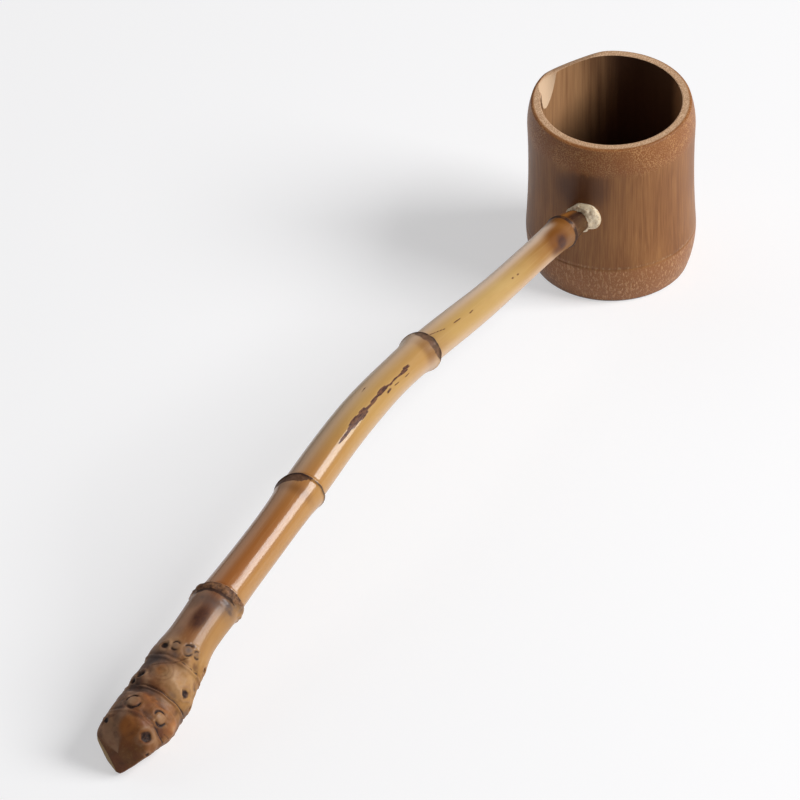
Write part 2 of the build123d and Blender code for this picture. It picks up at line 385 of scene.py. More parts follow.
class StageSettings(bpy.types.PropertyGroup):
    """Floor, light and camera."""

    camera_angle: bpy.props.FloatProperty(
        name="Camera angle",
        description="Turn of the camera round the cup",
        default=radians(119.76),
        unit="ROTATION",
    )
    camera_rise: bpy.props.FloatProperty(
        name="Camera rise",
        description="Angle of the camera over the floor",
        default=radians(36.72),
        unit="ROTATION",
    )
    floor_colour: bpy.props.FloatVectorProperty(
        name="Floor", description="Plain paper under the dipper", default=(0.84, 0.835, 0.84), subtype="COLOR"
    )
    floor_lift: bpy.props.FloatProperty(
        name="Floor lift", description="How much darker the paper's own colour is seen", default=0.34
    )
    floor_glow: bpy.props.FloatProperty(
        name="Floor glow", description="Even light that is seen on the paper", default=0.484
    )
    sky: bpy.props.FloatProperty(name="Sky", description="Strength of the light from all round", default=0.10)
    key_angle: bpy.props.FloatProperty(
        name="Key angle",
        description="Turn of the lamp from the camera to its right",
        default=radians(82),
        unit="ROTATION",
    )
    key_rise: bpy.props.FloatProperty(
        name="Key rise", description="Angle of the lamp over the floor", default=radians(39), unit="ROTATION"
    )
    key_power: bpy.props.FloatProperty(name="Key power", description="Watts of the lamp", default=54.0)
    fill_power: bpy.props.FloatProperty(name="Fill power", description="Watts of the far lamp", default=8.0)


def lattice_noise(points, cell, seed=0):
    """Soft noise from -1 to 1: random values at the corners of cubes of one cell, blended inside each cube
    with the weight 3t² - 2t³ along each axis."""
    grid = np.floor(points / cell).astype(np.int64)
    part = points / cell - grid
    part = part * part * (3 - 2 * part)
    total = 0
    for corner in np.ndindex(2, 2, 2):
        spot = grid + np.array(corner)
        code = spot[..., 0] * 374761393 + spot[..., 1] * 668265263 + spot[..., 2] * 974711791 + seed * 362437
        code = (code ^ (code >> 13)) * 1274126177 & 0xFFFFFFFF
        value = ((code ^ (code >> 16)) & 0xFFFF) / 32767.5 - 1
        total = total + value * np.where(corner, part, 1 - part).prod(axis=-1)
    return total


def ease(value, low=0.0, high=1.0):
    """The smooth step 3t² - 2t³, where t runs from 0 to 1 between low and high."""
    step = np.clip((value - low) / (high - low), 0, 1)
    return step * step * (3 - 2 * step)


def bell(value, middle, width):
    """The bell exp(-t²), where t is the distance from the middle in widths."""
    return np.exp(-(((value - middle) / width) ** 2))


def smooth_curve(knots, values, at, slopes=None):
    """The cubic through the values with no kink in slope or bend: slopes m solve h1·m0 + 2(h0 + h1)·m1 +
    h0·m2 = 3(h1·d0 + h0·d1), where h are the gaps and d the straight slopes. The end slopes are the given
    ones, or leave the ends unbent. Between two knots it is the Hermite blend of values and slopes."""
    knots, values = np.asarray(knots, float), np.asarray(values, float)
    gaps = np.diff(knots)
    rises = (np.diff(values, axis=0).T / gaps).T
    count = len(knots)
    inner = np.arange(1, count - 1)
    matrix = np.zeros((count, count))
    matrix[inner, inner - 1] = gaps[1:]
    matrix[inner, inner] = 2 * (gaps[:-1] + gaps[1:])
    matrix[inner, inner + 1] = gaps[:-1]
    right = np.zeros_like(values)
    right[1:-1] = (3 * (rises[:-1].T * gaps[1:] + rises[1:].T * gaps[:-1])).T
    if slopes is None:
        matrix[0, :2] = matrix[-1, :-3:-1] = (2, 1)
        right[0], right[-1] = 3 * rises[0], 3 * rises[-1]
    else:
        matrix[0, 0] = matrix[-1, -1] = 1
        right[0], right[-1] = slopes
    lean = np.linalg.solve(matrix, right)
    cell = np.clip(np.searchsorted(knots, at, side="right") - 1, 0, count - 2)
    gap = gaps[cell]
    part = (at - knots[cell]) / gap
    if values.ndim > 1:
        gap, part = gap[:, None], part[:, None]
    start, end = values[cell], values[cell + 1]
    blend = part * part * (3 - 2 * part)
    return (
        start + (end - start) * blend
        + gap * part * (1 - part) * (lean[cell] * (1 - part) - lean[cell + 1] * part)
    )


def shell(name, rings, closed_ends=True, **layers):
    """A closed mesh from rings of points in millimetres. Neighbouring rings are joined by quads. The first
    and last ring each close in a point at their middle, or on each other where the rings go all the way
    round. Each layer is an attribute, a number or a vector at each point."""
    rows, columns = rings.shape[:2]
    index = np.arange(rows * columns).reshape(rows, columns)
    flat = {"position": rings, **layers}
    flat = {key: value.reshape(rows * columns, *value.shape[2:]) for key, value in flat.items()}
    lower, upper = (index[:-1], index[1:]) if closed_ends else (index, np.roll(index, -1, axis=0))
    quads = np.stack([lower, np.roll(lower, -1, 1), np.roll(upper, -1, 1), upper], axis=-1).reshape(-1, 4)
    faces = quads.tolist()
    if closed_ends:
        for ring, turn in ((index[0], 1), (index[-1], -1)):
            pole = len(flat["position"])
            flat = {key: np.append(value, [value[ring].mean(axis=0)], axis=0) for key, value in flat.items()}
            pair = np.stack([ring, np.roll(ring, -1)][::turn], axis=-1)
            faces += np.column_stack([pair[:, ::-1], np.full(columns, pole)]).tolist()
    corners = flat["position"][quads]
    volume = (corners[:, 0] * np.cross(corners[:, 1], corners[:, 2])).sum()
    volume += (corners[:, 0] * np.cross(corners[:, 2], corners[:, 3])).sum()
    if volume < 0:
        faces = [face[::-1] for face in faces]
    mesh = bpy.data.meshes.new(name)
    mesh.from_pydata((flat.pop("position") * MM).tolist(), [], faces)
    for key, value in flat.items():
        vector = value.ndim == 2
        layer = mesh.attributes.new(key, "FLOAT_VECTOR" if vector else "FLOAT", "POINT")
        layer.data.foreach_set("vector" if vector else "value", value.astype(np.float32).ravel())
    mesh.shade_smooth()
    mesh.update()
    piece = bpy.data.objects.new(name, mesh)
    bpy.context.scene.collection.objects.link(piece)
    return piece


class Shade:
    """A socket of a shader tree that can be used in Python sums. Sums on values add Math nodes, and colours
    and vectors are mixed by their own nodes."""

    def __init__(self, tree, socket):
        self.tree = tree
        self.socket = socket

    def node(self, kind, settings=None, output=0, **inputs):
        """The output of a new node of this type. Settings are set first, and then its sockets' values or
        links, by name with _ for a space, or by number as in i0. A ramp's stops are (place, colour) pairs."""
        node = self.tree.nodes.new(kind)
        for key, value in (settings or {}).items():
            if key == "stops":
                points = node.color_ramp.elements
                while len(points) < len(value):
                    points.new(1.0)
                for point, (place, colour) in zip(points, value):
                    point.position = place
                    point.color = (*colour, 1.0) if len(colour) == 3 else colour
            else:
                setattr(node, key, value)
        for key, value in inputs.items():
            spot = int(key[1:]) if key[0] == "i" and key[1:].isdigit() else key.replace("_", " ")
            socket = node.inputs[spot]
            if isinstance(value, Shade):
                self.tree.links.new(value.socket, socket)
            else:
                socket.default_value = value
        return None if output is None else Shade(self.tree, node.outputs[output])

    def math(self, operation, *values):
        inputs = {f"i{place}": value for place, value in enumerate(values)}
        return self.node("ShaderNodeMath", {"operation": operation}, **inputs)

    def __add__(self, other):
        return self.math("ADD", self, other)

    def __radd__(self, other):
        return self.math("ADD", other, self)

    def __sub__(self, other):
        return self.math("SUBTRACT", self, other)

    def __rsub__(self, other):
        return self.math("SUBTRACT", other, self)

    def __mul__(self, other):
        return self.math("MULTIPLY", self, other)

    def __rmul__(self, other):
        return self.math("MULTIPLY", other, self)

    def __truediv__(self, other):
        return self.math("DIVIDE", self, other)

    def step(self, low, high):
        """A smooth step from 0 to 1 as this value goes from low to high."""
        smooth = {"interpolation_type": "SMOOTHSTEP"}
        return self.node("ShaderNodeMapRange", smooth, Value=self, From_Min=low, From_Max=high)

    def mix(self, colour, other):
        """From one colour to the other as this value goes from 0 to 1."""
        blend = {"data_type": "RGBA", "clamp_factor": True}
        return self.node("ShaderNodeMix", blend, 2, Factor=self, i6=rgba(colour), i7=rgba(other))

    def scaled(self, factors):
        """This vector with each axis scaled."""
        return self.node("ShaderNodeVectorMath", {"operation": "MULTIPLY"}, i0=self, i1=factors)

    def parts(self):
        """The three numbers of this vector."""
        split = self.node("ShaderNodeSeparateXYZ", i0=self).socket.node
        return [Shade(self.tree, socket) for socket in split.outputs]

    def noise(self, scale, detail=2.0, roughness=0.5, stretch=(1.0, 1.0, 1.0), shift=0.0):
        """Noise from 0 to 1 at this vector, with this many cells to a unit before the stretch."""
        scales = tuple(scale * part for part in stretch)
        place = self.node("ShaderNodeMapping", Vector=self, Scale=scales, Location=(shift, shift, 0))
        return self.node("ShaderNodeTexNoise", Vector=place, Scale=1.0, Detail=detail, Roughness=roughness)


def rgba(colour):
    """A colour with its alpha, or a link as it is."""
    return colour if isinstance(colour, Shade) else (*tuple(colour)[:3], 1.0)


def new_material(name):
    """A new material's start for sums, and a function that finishes it with a principled shader."""
    material = bpy.data.materials.new(name)
    material.use_nodes = True
    tree = material.node_tree
    tree.nodes.clear()
    start = Shade(tree, None)

    def finish(surface=None, **inputs):
        surface = surface or start.node("ShaderNodeBsdfPrincipled", **inputs)
        start.node("ShaderNodeOutputMaterial", output=None, Surface=surface)
        return material

    return start, finish


def cup_outline(sizes):
    """Radii and heights of the cup's outside from its foot to the shoulder, in millimetres. The base is an
    arc that meets the node upright, the node's line is a shallow groove, and the wall is a shallow hollow
    through the waist."""
    foot, top = sizes.foot_diameter / 2 / MM, sizes.node_height / MM
    waist, shoulder = sizes.waist_diameter / 2 / MM, sizes.shoulder_diameter / 2 / MM
    node = solids_box[1][1] / MM
    inset = node - foot
    bend = (inset**2 + top**2) / (2 * inset)
    heights = top * np.linspace(0, 1, 34) ** 1.4
    radii = node - bend + np.sqrt(bend**2 - (top - heights) ** 2)
    radii -= 0.45 * (1 - ease(heights, 0, 0.9))
    groove_width, groove_depth = 0.9, 0.10
    groove = np.linspace(0.15, groove_width, 5)
    heights = np.append(heights, top + groove)
    radii = np.append(radii, node - groove_depth * np.sin(pi * groove / groove_width) - 0.02)
    end = solids_box[1][2] / MM - sizes.shoulder_length / MM
    part = np.linspace(0, 1, 42)[1:]
    wall_start = top + groove_width
    heights = np.append(heights, wall_start + (end - wall_start) * part)
    wall = node * (1 - part) * (1 - 2 * part) + 4 * waist * part * (1 - part)
    radii = np.append(radii, wall + shoulder * part * (2 * part - 1))
    return radii, heights


def rim_height(angle, radius, sizes):
    """Height of the cup's top at an angle and radius: the lowest of the tilted saw cut, the scoop and the
    gouge. The saw cut falls by the tangent of its tilt towards its low side. The scoop is a wide round trough
    that falls outwards, and the gouge is a steep round cut that leans outwards. Also says how far the scoop
    is below the saw cut, and the gouge below both."""
    top, rim = solids_box[1][2] / MM, sizes.rim_diameter / 2 / MM
    bore = sizes.bore_diameter / 2 / MM
    saw_tilt, saw_side = radians(2.8), radians(20)
    saw = top - tan(saw_tilt) * (radius * np.cos(angle - saw_side) + rim)
    scoop_side, scoop_slope, scoop_radius, scoop_drop = radians(-116), radians(22), 100.0, 2.2
    along, across = radius * np.cos(angle - scoop_side), radius * np.sin(angle - scoop_side)
    bowl = scoop_radius - np.sqrt(scoop_radius**2 - across**2)
    scoop = top - scoop_drop + bowl / cos(scoop_slope) - tan(scoop_slope) * (along - rim)
    gouge_side, gouge_radius, gouge_depth, gouge_width = radians(-84), 8.5, 11.0, 2.4
    lean = gouge_width / gouge_depth
    along, across = radius * np.cos(angle - gouge_side), radius * np.sin(angle - gouge_side)
    reach = np.sqrt(np.clip(gouge_radius**2 - across**2, 0, None) * (1 + lean**2))
    gouge = top + (along - (bore + gouge_width - gouge_radius) - reach) / lean
    gouge = np.where((np.abs(across) < gouge_radius) & (along > 0), gouge, saw + 1)
    bent = 0.3
    pared = -bent * np.log(np.exp(-saw / bent) + np.exp(-scoop / bent))
    return np.minimum(pared, gouge), saw - scoop, pared - gouge


def make_cup(sizes):
    """The cup as rings round its axis: the flat base, the outside, the top and the hollow. The top's height
    at each angle and radius comes from the cuts, and the outside goes up to where it meets them."""
    angle = np.linspace(-pi, pi, CUP_COLUMNS, endpoint=False)[None]
    rim, bore = sizes.rim_diameter / 2 / MM, sizes.bore_diameter / 2 / MM
    shoulder = sizes.shoulder_diameter / 2 / MM
    top, floor = solids_box[1][2] / MM, sizes.floor_thickness / MM
    radii, heights = cup_outline(sizes)
    start = heights[-1]

    def band_radius(height):
        part, swell = (height - start) / (top - start), 0.6
        return shoulder + (rim - shoulder) * part + 4 * swell * part * (1 - part)

    low, high = np.full(angle.shape, start), np.full(angle.shape, top)
    for _ in range(30):
        middle = (low + high) / 2
        under = middle < rim_height(angle, band_radius(middle), sizes)[0]
        low, high = np.where(under, middle, low), np.where(under, high, middle)
    outer_height = low
    outer_radius = band_radius(outer_height)
    ones = np.ones_like(angle)

    base_part = np.linspace(0.04, 0.985, 12)[:, None]
    rows = [(radii[0] * base_part * ones, 0 * base_part * ones, "base")]
    rows.append((radii[:, None] * ones, heights[:, None] * ones, "skin"))
    part = np.linspace(0, 1, 27)[1:, None]
    rise = start + (outer_height - 0.35 - start) * part
    rows.append((band_radius(rise), rise, "band"))
    part = ((1 - np.cos(pi * np.linspace(0, 1, 28))) / 2)[1:-1, None]
    inward = outer_radius + (bore - outer_radius) * part
    edge = 0.12 * (1 - ease(1 - part, 0, 0.12)) + 0.35 * (1 - np.clip(part / 0.22, 0, 1)) ** 2
    rows.append((inward, rim_height(angle, inward, sizes)[0] - edge, "cut"))
    lip = rim_height(angle, bore * ones, sizes)[0] - 0.12
    corner = 7.0
    part = (np.linspace(0, 1, 48) ** 1.3)[:, None]
    rows.append((bore * ones + 0 * part, lip + (floor + corner - lip) * part, "bore"))
    turn = np.linspace(0, pi / 2, 9)[1:, None]
    bend = (bore - corner + corner * np.cos(turn) * ones, floor + corner - corner * np.sin(turn) * ones)
    rows.append((*bend, "bore"))
    part = np.linspace(1, 0.04, 12)[1:, None]
    rows.append(((bore - corner) * part * ones, (floor - 0.8 * (1 - part**2)) * ones, "bore"))

    radius = np.concatenate([row[0] for row in rows])
    height = np.concatenate([row[1] for row in rows])
    zone = {
        key: np.concatenate([np.full(row[0].shape, float(row[2] == key)) for row in rows])
        for key in ("cut", "bore")
    }
    across = radius * np.ones_like(angle)
    _, scoop_depth, gouge_depth = rim_height(angle, across, sizes)
    fresh = ease(gouge_depth, 0, 0.9) * zone["cut"]
    inset = (radius - bore) / (rim - bore)
    sawn = zone["cut"] * (1 - 0.25 * ease(scoop_depth, 0, 0.4)) * (1 - ease(inset, 0.74, 0.97))
    wave = 0.05 * (1 + np.sin(3 * angle + 0.7)) * (1 - zone["bore"]) * ease(height, 0, 3)
    radius = radius - wave
    rings = np.stack([radius * np.cos(angle), radius * np.sin(angle), height], axis=-1)
    piece = shell("bamboo_cup", rings, cut=sawn, fresh=fresh, bore=zone["bore"])
    piece.data.set_sharp_from_angle(angle=radians(42))
    return piece


def cup_material(sizes):
    """Smoked bamboo: upright fibres in the skin, pale bundle ends where the band and rim are planed across
    them, short root scars on the node's band, raw wood in the gouged lip, and painted shade in the hollow,
    darker towards its floor and away from the side lit by the lamp."""
    start, finish = new_material("cup_bamboo")
    place = start.node("ShaderNodeTexCoord", output=3).scaled((1000, 1000, 1000))
    x, y, z = place.parts()
    cut = start.node("ShaderNodeAttribute", {"attribute_name": "cut"}, output=2)
    fresh = start.node("ShaderNodeAttribute", {"attribute_name": "fresh"}, output=2)
    bore = start.node("ShaderNodeAttribute", {"attribute_name": "bore"}, output=2)

    fine = place.noise(2.4, 2.0, 0.6, (1, 1, 0.02))
    broad = place.noise(0.40, 3.0, 0.55, (1, 1, 0.05), 7)
    cloud = place.noise(0.07, 2.0, 0.5, (1, 1, 0.6), 3)
    fibre = (fine * 0.62 + broad * 0.50 + cloud * 0.40 - 0.30).step(0.20, 0.78)
    wall = fibre.mix(sizes.wall_shade, sizes.wall_colour)
    turn = start.math("ARCTAN2", y, x)
    smoke_turn, smoke_height = 0.13, 49.5
    smoke_side = (turn - smoke_turn + (broad - 0.5) * 0.25) / 0.36
    smoke_rise = (z - smoke_height + (cloud - 0.5) * 10) / 9.5
    smoke = 1 - (smoke_side * smoke_side + smoke_rise * smoke_rise).step(0.05, 1.5)
    wall = (smoke * (1 - bore) * 0.8).mix(wall, (0.095, 0.030, 0.010))

    ragged = place.noise(0.5, 2.0, 0.5, (1, 1, 0.4), 11) * 5.0 - 2.5
    band = (z + ragged).step(54.5, 59.0) * (1 - bore)
    dots = place.noise(2.3, 1.0, 0.5, (1, 1, 0.85), 5).step(0.45, 0.64)
    patch = place.noise(0.10, 2.0, 0.5, (1, 1, 1), 19).step(0.35, 0.62)
    planed = (dots * (patch * 0.55 + 0.25)).mix(sizes.band_colour, (0.53, 0.27, 0.105))
    colour = band.mix(wall, planed)

    root_band = 1 - (z + ragged * 0.25).step(14.6, 15.8)
    scars = place.noise(1.35, 1.0, 0.4, (1, 1, 0.35), 23).step(0.54, 0.66)
    low_dots = place.noise(1.9, 1.0, 0.5, (1, 1, 0.8), 29).step(0.53, 0.68)
    foot = (scars * 0.50 + low_dots * 0.30).mix((0.315, 0.124, 0.042), (0.58, 0.32, 0.15))
    colour = (root_band * (1 - bore)).mix(colour, foot)
    line_height = 16.4
    off_line = z - line_height - ragged * 0.15
    line = (1 - (off_line * off_line).step(0.02, 0.6)) * (1 - bore)
    colour = (line * scars * 0.40).mix(colour, (0.56, 0.32, 0.16))
    foot_edge = (1 - z.step(0.1, 1.3)) * (1 - bore)
    colour = (foot_edge * 0.75).mix(colour, (0.06, 0.030, 0.018))

    bore_radius = sizes.bore_diameter / 2 / MM

    def towards(degrees_round):
        facing = radians(degrees_round)
        return x * (cos(facing) / bore_radius) + y * (sin(facing) / bore_radius)

    hollow = (fine * 0.5 + broad * 0.6 - 0.05).step(0.2, 0.85)
    hollow = hollow.mix((0.340, 0.165, 0.074), (0.570, 0.315, 0.150))
    # Painted shade: the hollow is painted darker towards its floor, and darker again everywhere but on the
    # side lit by the lamp and a strip at 126 degrees round
    hollow = (1 - z.step(18.0, 56.0)).mix(hollow, (0.075, 0.033, 0.018))
    lit_inner_side = (towards(-105) + (broad - 0.5) * 0.3).step(0.60, 1.02)
    unshaded_strip = towards(126).step(0.88, 1.0) * z.step(28.0, 52.0)
    hollow = ((1 - unshaded_strip) * (1 - lit_inner_side) * 0.93).mix(hollow, (0.070, 0.030, 0.017))
    colour = bore.mix(colour, hollow)
    grain = place.noise(2.2, 1.0, 0.6, (1, 1, 1), 41).step(0.35, 0.7)
    sawn = grain.mix((0.480, 0.275, 0.150), sizes.cut_colour)
    colour = cut.mix(colour, sawn)
    colour = fresh.mix(colour, (0.78, 0.55, 0.36))

    relief = fine * 0.35 + broad * 0.3 + (dots * band + (scars + low_dots) * root_band) * 0.5
    bump = start.node("ShaderNodeBump", Height=relief, Distance=0.00012, Strength=0.6)
    roughness = 0.38 + fine * 0.12 + cut * 0.25
    return finish(Base_Color=colour, Roughness=roughness, Normal=bump, Specular_IOR_Level=0.32)


def joint_frame(waist):
    """The joint's place on the cup's wall of this radius, and the direction in which the handle leaves it."""
    place = np.array([(waist**2 - JOINT_SIDE**2) ** 0.5, JOINT_SIDE, JOINT_HEIGHT])
    return place, np.array([cos(JOINT_CLIMB), 0, sin(JOINT_CLIMB)])


def handle_line(sizes):
    """The handle's centre line in millimetres: its points, their lengths from the cup's wall and the whole
    length. It climbs straight from the wall to the first node, and is then the smooth curve through the
    shares above."""
    tip = solids_box[1][0] / MM
    joint, direction = joint_frame(CUP_WAIST / 2)
    first = joint + direction * NECK_LENGTH
    arch, knob = sizes.arch_height / MM, sizes.knob_diameter / 2 / MM
    heights = [(share, arch * high) for share, high in ARCH_LINE_SHARES]
    heights += [(share, knob * high) for share, high in KNOB_LINE_SHARES]
    heights += [(1, sizes.tip_height / MM)]
    points = [first] + [
        np.array([first[0] + (tip - first[0]) * share, JOINT_SIDE * (1 - share), high])
        for share, high in heights
    ]
    points = np.array(points)
    end = points[-1] - points[-2]
    end /= np.linalg.norm(end)
    knots = np.append(0, np.cumsum(np.linalg.norm(np.diff(points, axis=0), axis=1)))
    fine = np.linspace(0, knots[-1], 3000)
    curve = smooth_curve(knots, points, fine, (direction, end))
    length = NECK_LENGTH + np.append(0, np.cumsum(np.linalg.norm(np.diff(curve, axis=0), axis=1)))
    inside = np.linspace(-8, NECK_LENGTH, 30)[:-1]
    before = joint + inside[:, None] * direction
    after = np.linspace(0.2, 4, 20)
    beyond = curve[-1] + after[:, None] * end
    lengths = np.concatenate([inside, length, length[-1] + after])
    return np.vstack([before, curve, beyond]), lengths, length[-1]


def node_places(line_end):
    """Where each node lies, in millimetres along the line from the wall."""
    rows = SMOOTH_INTERNODE_SHARES + ROOT_INTERNODE_SHARES
    return np.array([NECK_LENGTH + (line_end - NECK_LENGTH) * row[0] for row in rows])


def handle_radius(along, angle, sizes, line_end):
    """Radius of the handle at each place and angle: the internode's own swell, a collar that steps up at the
    node and eases away, a low lip on its edge and a groove in front of it. The place is first moved back by
    the node's slant at that angle, so that the node's line runs askew round the handle. Also gives the
    moved places."""
    nodes = node_places(line_end)
    rows = SMOOTH_INTERNODE_SHARES + ROOT_INTERNODE_SHARES
    lean = ((1 - np.cos(angle - NODE_SLANT_FROM)) / 2) ** 2
    moved = along * np.ones_like(angle)
    for node, slant in zip(nodes, NODE_SLANTS):
        moved = moved - slant * lean * bell(along, node, 13.0)
    skin = np.broadcast_arrays(np.cos(angle) * 7, np.sin(angle) * 7, 0.2 * along, moved)[:3]
    moved = moved + 0.22 * lattice_noise(np.stack(skin, axis=-1), 1.6, 3)
    tenon = sizes.tenon_diameter / 2 / MM
    radius = tenon + 0.9 * ease(moved, 1.0, 9.0)
    for number, (row, node) in enumerate(zip(rows, nodes)):
        _, end, collar_share, shares = row
        smooth = number < len(SMOOTH_INTERNODE_SHARES)
        thick = (sizes.handle_diameter if smooth else sizes.knob_diameter) / 2 / MM
        run = 6.5 if smooth else 4.4
        end_place = NECK_LENGTH + (line_end - NECK_LENGTH) * end
        knots = np.linspace(node + run, end_place, len(shares))
        spots = np.clip(moved, knots[0], knots[-1]).ravel()
        body = smooth_curve(knots, np.array(shares) * thick, spots).reshape(moved.shape)
        past = moved - node
        collar = thick * collar_share
        swell = body + (collar - shares[0] * thick) * (1 - ease(past, 0.8, run + 1.5))
        step = ease(past, -0.25, 0.35)
        lip = 0.42 * bell(past, 0.75, 0.55) - 0.30 * bell(past, -0.35, 0.35)
        radius = np.where(past > -2.0, radius * (1 - step) + swell * step + lip, radius)
    return radius, moved


def turn_from(angle, degrees_round):
    """The turn from a direction round the handle, from half a turn back to half a turn on."""
    return (angle - radians(degrees_round) + pi) % (2 * pi) - pi


def soft_spots(along, angle, radius, spots):
    """Round soft spots, each its strength times a bell along the line and a bell round it. Where spots meet,
    the strongest counts."""
    total = np.zeros_like(radius)
    for place, degrees_round, half_long, half_wide, strength in spots:
        arc = turn_from(angle, degrees_round) * radius
        total = np.maximum(total, strength * bell(along, place, half_long) * bell(arc, 0, half_wide))
    return total


def trim_tip(reach, heart, outwards):
    """The handle's end: from the heart line outwards, the soft minimum of the body's own reach, the flat
    rest, two pared faces and a round end. Also gives the reach of the flat rest, and says how much each
    point lies on the first pared face."""
    tip = solids_box[1][0] / MM
    faces = (
        ((0.0, 0.0, -1.0), (tip, 0.0, 0.0)),
        ((0.796, -0.536, -0.284), (tip - 0.1, 0.0, 0.4)),
        ((0.16, 0.72, -0.67), (tip - 0.1, 1.4, 0.4)),
    )
    limits = [reach]
    for facing, point in faces:
        facing = np.array(facing) / np.linalg.norm(facing)
        room = (np.array(point) - heart) @ facing
        slope = outwards @ facing
        limits.append(np.where(slope > 0.02, np.clip(room, 0, None) / np.maximum(slope, 0.02), FAR_REACH))
    ball_centre, ball = np.array([tip - 33.5, 1.0, 1.0]), 33.2
    offset = heart - ball_centre
    half = (outwards * offset).sum(axis=-1)
    limits.append(-half + np.sqrt(np.clip(half**2 + ball**2 - (offset**2).sum(axis=-1), 0, None)))
    stack = np.stack(limits)
    least, sharp = stack.min(axis=0), 0.9
    soft = least - sharp * np.log(np.exp(-np.clip(stack - least, 0, 60) / sharp).sum(axis=0))
    others = np.minimum(np.minimum(stack[0], stack[3]), stack[4])
    return np.maximum(np.minimum(soft, stack[1]), LEAST_REACH), stack[1], ease(others - stack[2], -1.8, -1.1)


def make_handle(sizes):
    """The handle as rings along its line. A ring's radius is that of the internodes, kept inside the trimmed
    end, with the swollen places, root discs, pits and rough skin added."""
    points, lengths, line_end = handle_line(sizes)
    nodes = node_places(line_end)
    spread = [np.linspace(-6.2, 13, 26), np.arange(14.0, 258, 1.7), np.arange(262, line_end + 1.1, 0.32)]
    for node, slant in zip(nodes[:4], NODE_SLANTS):
        spread.append(np.arange(node - 2.0, node + 3.2 + max(slant, 0), 0.36))
    along = np.unique(np.round(np.concatenate(spread), 2))
    centre = np.stack([np.interp(along, lengths, points[:, axis]) for axis in range(3)], axis=-1)
    forward = np.gradient(centre, along, axis=0)
    forward /= np.linalg.norm(forward, axis=1)[:, None]
    side = np.array([0, 1.0, 0]) - forward * forward[:, 1:2]
    side /= np.linalg.norm(side, axis=1)[:, None]
    up = np.cross(forward, side)
    angle = np.linspace(-pi, pi, HANDLE_COLUMNS, endpoint=False)[None]
    place = along[:, None]

    # The heart line sinks from the middle towards the rest, so that each ring looks out on its own faces
    sink = ease(place, line_end - 24, line_end + 2) * 7.6
    heart = centre[:, None] - up[:, None] * sink[..., None]
    outwards = np.cos(angle)[..., None] * side[:, None] + np.sin(angle)[..., None] * up[:, None]
    body, _ = handle_radius(place, angle, sizes, line_end)
    across = sink * np.sin(angle)
    least_reach = 0.05
    reach = across + np.sqrt(np.clip(across**2 + body**2 - sink**2, least_reach**2, None))
    trimmed, rest, pared = trim_tip(reach, heart, outwards)
    near_tip = place > line_end - 45
    base = np.where(near_tip, trimmed, np.minimum(reach, rest))
    pared = pared * near_tip

    # The angle and radius of each point round the middle, for the marks
    off = outwards * base[..., None] - up[:, None] * sink[..., None]
    round_side, round_up = (off * side[:, None]).sum(axis=-1), (off * up[:, None]).sum(axis=-1)
    turn, radius = np.arctan2(round_up, round_side), np.hypot(round_side, round_up)
    _, moved = handle_radius(place, turn, sizes, line_end)
    straight = np.stack([round_side, round_up, place + 0 * angle], axis=-1)

    on_knob = ease(place, 276, 284) * (1 - 0.4 * ease(place, 318, 328))
    fine, middle, coarse = (lattice_noise(straight, cell, 5) for cell in (0.9, 1.8, 4.2))
    extra = (coarse * 0.36 + middle * 0.16 + fine * 0.04) * on_knob
    for spot, degrees_round, half_long, half_wide, rise in KNOB_LUMPS:
        arc = turn_from(turn, degrees_round) * radius
        extra = extra + rise * bell(place, spot, half_long) * bell(arc, 0, half_wide)
    extra = extra + bell(moved - nodes[3], 2.0, 2.2) * (0.34 * middle + 0.22 * fine)
    extra = extra + 0.55 * bell(moved - nodes[3], 1.8, 1.2)
    dark, pale = np.zeros_like(radius), np.zeros_like(radius)
    for spot, degrees_round, size in ROOT_DISCS:
        arc = turn_from(turn, degrees_round) * radius
        gap = np.hypot(place - spot, arc) + 0.22 * middle
        facing = np.arctan2(place - spot, arc)
        crack = bell(gap, size, 0.48) * ease(np.sin(2 * facing + spot) + 0.9 * middle, -0.9, 0.5)
        share = (size / ROOT_DISCS[0][2]) ** 1.3
        extra = extra + share * (0.22 * (1 - ease(gap, size * 0.7, size)) - 0.55 * crack)
        extra = extra + share * 0.20 * bell(gap, size + 1.0, 0.7) * ease(fine, -0.8, 0.6)
        dark = np.maximum(dark, crack * (0.55 + 0.45 * share))
        face = (1 - ease(gap, size * 0.6, size)) * ease(middle, -0.7, 0.5)
        pale = np.maximum(pale, 0.25 * share * face)
    for spot, degrees_round, size, depth in ROOT_PITS:
        gap = np.hypot(place - spot, turn_from(turn, degrees_round) * radius * 0.85)
        gap = gap + 0.50 * lattice_noise(straight, 1.3, 17)
        extra = extra - depth * (1 - ease(gap, size * 0.35, size * 1.05))
        extra = extra + 0.20 * bell(gap, size * 1.35, 0.45)
        dark = np.maximum(dark, (1 - ease(gap, size * 0.45, size * 1.1)) * (0.80 + 0.2 * fine))
        # A pale ring round each pit: a painted highlight on its rim
        pale = np.maximum(pale, 0.45 * bell(gap, size * 1.3, 0.4))

    streak_at = np.array(STREAK_PATH)
    path_angle = np.interp(along, streak_at[:, 0], radians(1) * streak_at[:, 1])[:, None]
    half = np.interp(along, streak_at[:, 0], streak_at[:, 2], left=-1, right=-1)[:, None]
    ragged = lattice_noise(straight * np.array([1, 1, 0.35]), 0.8, 31) * 0.5
    streak = 1 - ease(np.abs(turn - path_angle) * radius + ragged, half - 0.15, half + 0.2)
    for start_at, start_turn, end_at, end_turn, half in SKIN_CRACKS:
        local = np.interp((start_at + end_at) / 2, along, radius.mean(axis=1))
        run_along, run_round = end_at - start_at, radians(end_turn - start_turn) * local
        from_along, from_round = place - start_at, (turn - radians(start_turn)) * local
        done = from_along * run_along + from_round * run_round
        part = np.clip(done / (run_along**2 + run_round**2), 0, 1)
        gap = np.hypot(from_along - run_along * part, from_round - run_round * part)
        strength = 0.70 if end_at < 200 else 0.50
        streak = np.maximum(streak, strength * (1 - ease(gap, half * 0.7, half * 1.5 + 0.16)))

